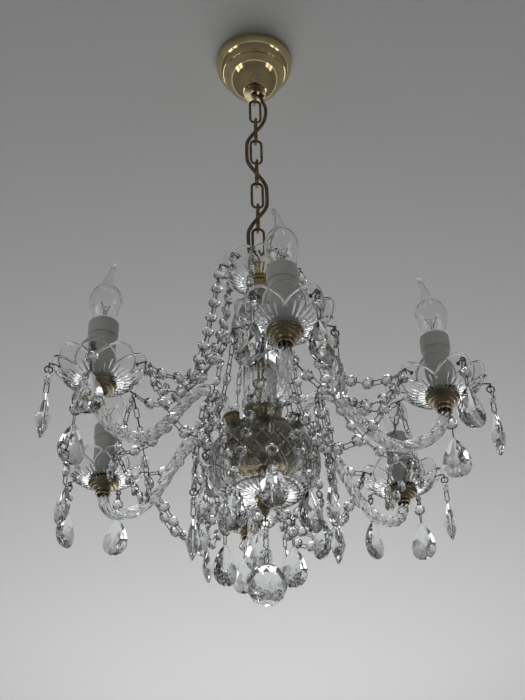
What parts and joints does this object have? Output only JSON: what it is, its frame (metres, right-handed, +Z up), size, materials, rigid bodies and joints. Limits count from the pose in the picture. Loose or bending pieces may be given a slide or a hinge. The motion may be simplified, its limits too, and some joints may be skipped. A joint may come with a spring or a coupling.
{
  "type": "crystal chandelier",
  "caption": "Hanging chandelier: domed ceiling rose, chain, glass vase stem, curved glass arms with candle lamps, strings of cut crystal beads and pear pendants, ball below.",
  "frame": {"origin": "on the ceiling plane, on the axis of the ceiling rose", "axes": "+Z up; the first arm points along -Y"},
  "size_m": [0.4751, 0.5252, 0.8335],
  "materials": {
    "polished_brass": "polished",
    "antique_brass": "antique",
    "zinc_steel": "zinc plated",
    "wire": "bright",
    "flex_brown": "satin",
    "white_plastic": "matte",
    "bulb_glass": "clear",
    "crystal": "cut and polished"
  },
  "bodies": {
    "ceiling": {"ceiling_bracket": "zinc_steel", "terminal_block": "white_plastic", "ceiling_rose": "polished_brass", "rose_nut": "polished_brass", "rose_loop": "polished_brass"},
    "chain": {"chain_links": "antique_brass", "flex": "flex_brown"},
    "chandelier": {"top_loop": "antique_brass", "top_cap": "polished_brass", "top_dish": "crystal", "top_dish_cup": "polished_brass", "vase": "crystal", "column": "crystal", "column_cap": "polished_brass", "stem": "polished_brass", "stem_collar": "polished_brass", "hub": "polished_brass", "bowl": "crystal", "finial": "antique_brass", "arm_1": "crystal", "arm_2": "crystal", "arm_3": "crystal", "arm_4": "crystal", "arm_5": "crystal", "arm_6": "crystal", "arm_ferrules": "polished_brass", "candle_cups": "polished_brass", "drip_dishes": "crystal", "dish_pins": "wire", "lampholders": "white_plastic", "candle_sleeves": "white_plastic", "top_garlands": "crystal", "side_garlands": "crystal", "bowl_garlands": "crystal", "bowl_pendants": "crystal"},
    "crystal_ball": {"ball": "crystal"},
    "bulb_1": {"bulb_1": "bulb_glass"},
    "pendant_1a": {"pendant_1a": "crystal"},
    "pendant_1b": {"pendant_1b": "crystal"},
    "pendant_1c": {"pendant_1c": "crystal"},
    "bulb_2": {"bulb_2": "bulb_glass"},
    "pendant_2a": {"pendant_2a": "crystal"},
    "pendant_2b": {"pendant_2b": "crystal"},
    "pendant_2c": {"pendant_2c": "crystal"},
    "bulb_3": {"bulb_3": "bulb_glass"},
    "pendant_3a": {"pendant_3a": "crystal"},
    "pendant_3b": {"pendant_3b": "crystal"},
    "pendant_3c": {"pendant_3c": "crystal"},
    "bulb_4": {"bulb_4": "bulb_glass"},
    "pendant_4a": {"pendant_4a": "crystal"},
    "pendant_4b": {"pendant_4b": "crystal"},
    "pendant_4c": {"pendant_4c": "crystal"},
    "bulb_5": {"bulb_5": "bulb_glass"},
    "pendant_5a": {"pendant_5a": "crystal"},
    "pendant_5b": {"pendant_5b": "crystal"},
    "pendant_5c": {"pendant_5c": "crystal"},
    "bulb_6": {"bulb_6": "bulb_glass"},
    "pendant_6a": {"pendant_6a": "crystal"},
    "pendant_6b": {"pendant_6b": "crystal"},
    "pendant_6c": {"pendant_6c": "crystal"}
  },
  "joints": [
    {"name": "chain_swing", "type": "hinge", "parent": "ceiling", "child": "chain", "pos_m": [0, 0, -0.0864], "axis": [0, 1, 0], "range_deg": [-5, 5]},
    {"name": "body_swing", "type": "hinge", "parent": "chain", "child": "chandelier", "pos_m": [0, 0, -0.37245], "axis": [1, 0, 0], "range_deg": [-8, 8]},
    {"name": "ball_swing", "type": "hinge", "parent": "chandelier", "child": "crystal_ball", "pos_m": [0, 0, -0.7431], "axis": [0, 1, 0], "range_deg": [-25, 25]},
    {"name": "bulb_1_out", "type": "slide", "parent": "chandelier", "child": "bulb_1", "axis": [0, 0, 1], "range_m": [0, 0.03]},
    {"name": "bulb_2_out", "type": "slide", "parent": "chandelier", "child": "bulb_2", "axis": [0, 0, 1], "range_m": [0, 0.03]},
    {"name": "bulb_3_out", "type": "slide", "parent": "chandelier", "child": "bulb_3", "axis": [0, 0, 1], "range_m": [0, 0.03]},
    {"name": "bulb_4_out", "type": "slide", "parent": "chandelier", "child": "bulb_4", "axis": [0, 0, 1], "range_m": [0, 0.03]},
    {"name": "bulb_5_out", "type": "slide", "parent": "chandelier", "child": "bulb_5", "axis": [0, 0, 1], "range_m": [0, 0.03]},
    {"name": "bulb_6_out", "type": "slide", "parent": "chandelier", "child": "bulb_6", "axis": [0, 0, 1], "range_m": [0, 0.03]},
    {"name": "pendant_1a_swing", "type": "hinge", "parent": "chandelier", "child": "pendant_1a", "pos_m": [0.02575, -0.2496, -0.6359], "axis": [-0.866, -0.5, 0], "range_deg": [-10, 25]},
    {"name": "pendant_1b_swing", "type": "hinge", "parent": "chandelier", "child": "pendant_1b", "pos_m": [0.05037, -0.19429, -0.6359], "axis": [0.2079, -0.9781, 0], "range_deg": [-10, 25]},
    {"name": "pendant_1c_swing", "type": "hinge", "parent": "chandelier", "child": "pendant_1c", "pos_m": [-0.03446, -0.24327, -0.6359], "axis": [-0.7431, 0.6691, 0], "range_deg": [-10, 25]},
    {"name": "pendant_2a_swing", "type": "hinge", "parent": "chandelier", "child": "pendant_2a", "pos_m": [0.22875, -0.10788, -0.6359], "axis": [-0.1045, -0.9945, 0], "range_deg": [-10, 25]},
    {"name": "pendant_2b_swing", "type": "hinge", "parent": "chandelier", "child": "pendant_2b", "pos_m": [0.19848, -0.05545, -0.6359], "axis": [0.9135, -0.4067, 0], "range_deg": [-10, 25]},
    {"name": "pendant_2c_swing", "type": "hinge", "parent": "chandelier", "child": "pendant_2c", "pos_m": [0.18824, -0.15287, -0.6359], "axis": [-0.9781, -0.2079, 0], "range_deg": [-10, 25]},
    {"name": "pendant_3a_swing", "type": "hinge", "parent": "chandelier", "child": "pendant_3a", "pos_m": [0.20781, 0.14416, -0.6359], "axis": [0.809, -0.5878, 0], "range_deg": [-10, 25]},
    {"name": "pendant_3b_swing", "type": "hinge", "parent": "chandelier", "child": "pendant_3b", "pos_m": [0.14726, 0.14416, -0.6359], "axis": [0.809, 0.5878, 0], "range_deg": [-10, 25]},
    {"name": "pendant_3c_swing", "type": "hinge", "parent": "chandelier", "child": "pendant_3c", "pos_m": [0.22651, 0.08659, -0.6359], "axis": [-0.309, -0.9511, 0], "range_deg": [-10, 25]},
    {"name": "pendant_4a_swing", "type": "hinge", "parent": "chandelier", "child": "pendant_4a", "pos_m": [0, 0.2565, -0.6359], "axis": [1, 0, 0], "range_deg": [-10, 25]},
    {"name": "pendant_4b_swing", "type": "hinge", "parent": "chandelier", "child": "pendant_4b", "pos_m": [-0.04898, 0.22091, -0.6359], "axis": [0.309, 0.9511, 0], "range_deg": [-10, 25]},
    {"name": "pendant_4c_swing", "type": "hinge", "parent": "chandelier", "child": "pendant_4c", "pos_m": [0.04898, 0.22091, -0.6359], "axis": [0.309, -0.9511, 0], "range_deg": [-10, 25]},
    {"name": "pendant_5a_swing", "type": "hinge", "parent": "chandelier", "child": "pendant_5a", "pos_m": [-0.2192, 0.13277, -0.6359], "axis": [0.5878, 0.809, 0], "range_deg": [-10, 25]},
    {"name": "pendant_5b_swing", "type": "hinge", "parent": "chandelier", "child": "pendant_5b", "pos_m": [-0.2192, 0.07223, -0.6359], "axis": [-0.5878, 0.809, 0], "range_deg": [-10, 25]},
    {"name": "pendant_5c_swing", "type": "hinge", "parent": "chandelier", "child": "pendant_5c", "pos_m": [-0.16162, 0.15148, -0.6359], "axis": [0.9511, -0.309, 0], "range_deg": [-10, 25]},
    {"name": "pendant_6a_swing", "type": "hinge", "parent": "chandelier", "child": "pendant_6a", "pos_m": [-0.22791, -0.11321, -0.6359], "axis": [-0.2079, 0.9781, 0], "range_deg": [-10, 25]},
    {"name": "pendant_6b_swing", "type": "hinge", "parent": "chandelier", "child": "pendant_6b", "pos_m": [-0.18292, -0.15372, -0.6359], "axis": [-0.9945, 0.1045, 0], "range_deg": [-10, 25]},
    {"name": "pendant_6c_swing", "type": "hinge", "parent": "chandelier", "child": "pendant_6c", "pos_m": [-0.20329, -0.0579, -0.6359], "axis": [0.866, 0.5, 0], "range_deg": [-10, 25]}
  ]
}
